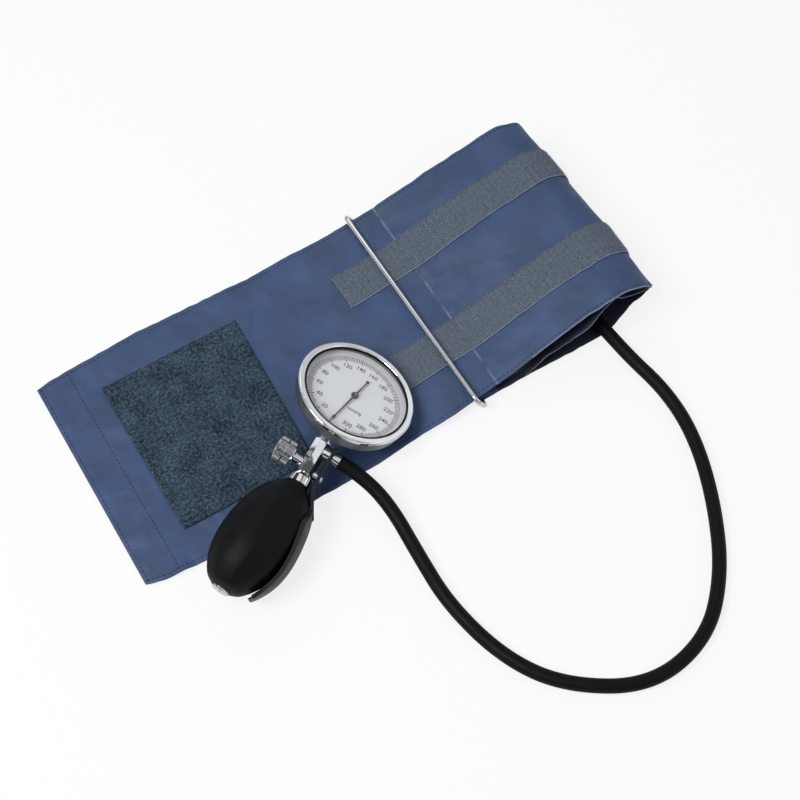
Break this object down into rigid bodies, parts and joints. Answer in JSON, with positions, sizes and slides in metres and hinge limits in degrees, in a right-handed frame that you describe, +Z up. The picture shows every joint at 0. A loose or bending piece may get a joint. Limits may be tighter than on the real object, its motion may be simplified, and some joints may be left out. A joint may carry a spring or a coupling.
{
  "type": "aneroid sphygmomanometer",
  "caption": "Arm cuff folded on a table, with a round dial gauge, a squeeze bulb with its release valve, and one rubber hose from the valve to the cuff's bladder.",
  "frame": {"origin": "on the table that the cuff lies on, under its lower panel, midway across the cuff", "axes": "+X along the cuff towards its fold, +Y across the cuff away from the pump, +Z up"},
  "size_m": [0.3398, 0.338, 0.0452],
  "materials": {
    "blue_nylon": "woven nylon cloth, slate blue",
    "dark_lining": "coated cloth, dark blue",
    "bladder_rubber": "thin moulded rubber",
    "loop_pile": "brushed loop pile, dark teal grey",
    "hook_tape": "ribbed hook tape, blue grey",
    "black_rubber": "matte black rubber",
    "bright_chrome": "polished plating",
    "satin_chrome": "satin plating",
    "turned_brass": "turned brass",
    "steel": "plain steel",
    "pale_metal": "turned aluminium",
    "black_plastic": "moulded black plastic",
    "clear_lens": "clear flat lens",
    "dial_paint": "pale silver printed dial",
    "black_paint": "black paint"
  },
  "bodies": {
    "cuff_and_pump": {"cuff_outer_fabric": "blue_nylon", "cuff_lining": "dark_lining", "bladder": "bladder_rubber", "bladder_port": "bladder_rubber", "loop_pile_patch": "loop_pile", "hose": "black_rubber", "valve_body": "bright_chrome", "needle_seat": "turned_brass", "release_gland": "bright_chrome", "hose_barb": "bright_chrome", "spoon": "black_plastic", "spoon_screw": "bright_chrome", "outlet_nipple": "turned_brass", "outlet_valve_spring": "steel", "bulb": "black_rubber", "inlet_valve_plug": "pale_metal", "gauge_case": "satin_chrome", "gauge_socket": "bright_chrome", "bezel_ring": "bright_chrome", "lens": "clear_lens", "lens_gasket": "black_rubber", "dial_plate": "dial_paint", "bottom_plate": "turned_brass", "top_plate": "turned_brass", "case_posts": "turned_brass", "movement_pillars": "turned_brass", "movement_screws": "steel", "capsule": "turned_brass", "hook_strip_rear": "hook_tape", "hook_strip_front": "hook_tape"},
    "ring": {"cuff_ring": "bright_chrome"},
    "needle": {"release_needle": "turned_brass"},
    "knob": {"release_knob": "satin_chrome", "release_spindle": "turned_brass"},
    "pointer": {"pointer": "black_paint", "pointer_arbor": "steel", "hairspring": "steel"},
    "sector": {"sector_gear": "turned_brass"},
    "rocker": {"rocker_shaft": "steel"},
    "pusher": {"capsule_pusher": "turned_brass"},
    "inlet_ball": {"inlet_valve_ball": "steel"},
    "outlet_ball": {"outlet_valve_ball": "steel"}
  },
  "joints": [
    {"name": "ring_lift", "type": "hinge", "parent": "cuff_and_pump", "child": "ring", "pos_m": [-0.0555, 0, 0.00238], "axis": [0, 1, 0], "range_deg": [0, 30]},
    {"name": "release_needle_lift", "type": "slide", "parent": "cuff_and_pump", "child": "needle", "axis": [-0.4977, 0.8132, 0.3016], "range_m": [0, 0.00105]},
    {"name": "release_knob_turn", "type": "hinge", "parent": "needle", "child": "knob", "pos_m": [-0.16528, -0.06362, 0.02335], "axis": [-0.4977, 0.8132, 0.3016], "range_deg": [0, 540.5]},
    {"name": "pointer_sweep", "type": "hinge", "parent": "cuff_and_pump", "child": "pointer", "pos_m": [-0.1206, -0.0409, 0.03], "axis": [-0.4397, 0.0632, -0.8959], "range_deg": [0, 337.5], "stiffness_Nm_per_rad": 0.0004, "deforming": ["hairspring"]},
    {"name": "sector_turn", "type": "hinge", "parent": "cuff_and_pump", "child": "sector", "pos_m": [-0.13181, -0.04958, 0.03489], "axis": [0.4397, -0.0632, 0.8959], "range_deg": [0, 37.55]},
    {"name": "rocker_turn", "type": "hinge", "parent": "cuff_and_pump", "child": "rocker", "pos_m": [-0.13566, -0.04812, 0.02461], "axis": [0.4977, -0.8132, -0.3016], "range_deg": [0, 13.8]},
    {"name": "pusher_lift", "type": "slide", "parent": "cuff_and_pump", "child": "pusher", "axis": [0.4397, -0.0632, 0.8959], "range_m": [0, 0.00126]},
    {"name": "inlet_ball_lift", "type": "slide", "parent": "cuff_and_pump", "child": "inlet_ball", "axis": [0.9045, 0.4245, 0.0416], "range_m": [0, 0.00055]},
    {"name": "outlet_ball_lift", "type": "slide", "parent": "cuff_and_pump", "child": "outlet_ball", "axis": [0.8622, 0.5018, 0.0698], "range_m": [0, 0.00055], "stiffness_N_per_m": 20, "deforming": ["outlet_valve_spring"]}
  ],
  "couplings": [
    {"joint": "release_knob_turn", "follows": "release_needle_lift", "rad_per_m": 8976},
    {"joint": "sector_turn", "follows": "pointer_sweep", "ratio": 0.11111},
    {"joint": "rocker_turn", "follows": "pointer_sweep", "ratio": 0.040744},
    {"joint": "pusher_lift", "follows": "pointer_sweep", "m_per_rad": 0.00021221}
  ]
}
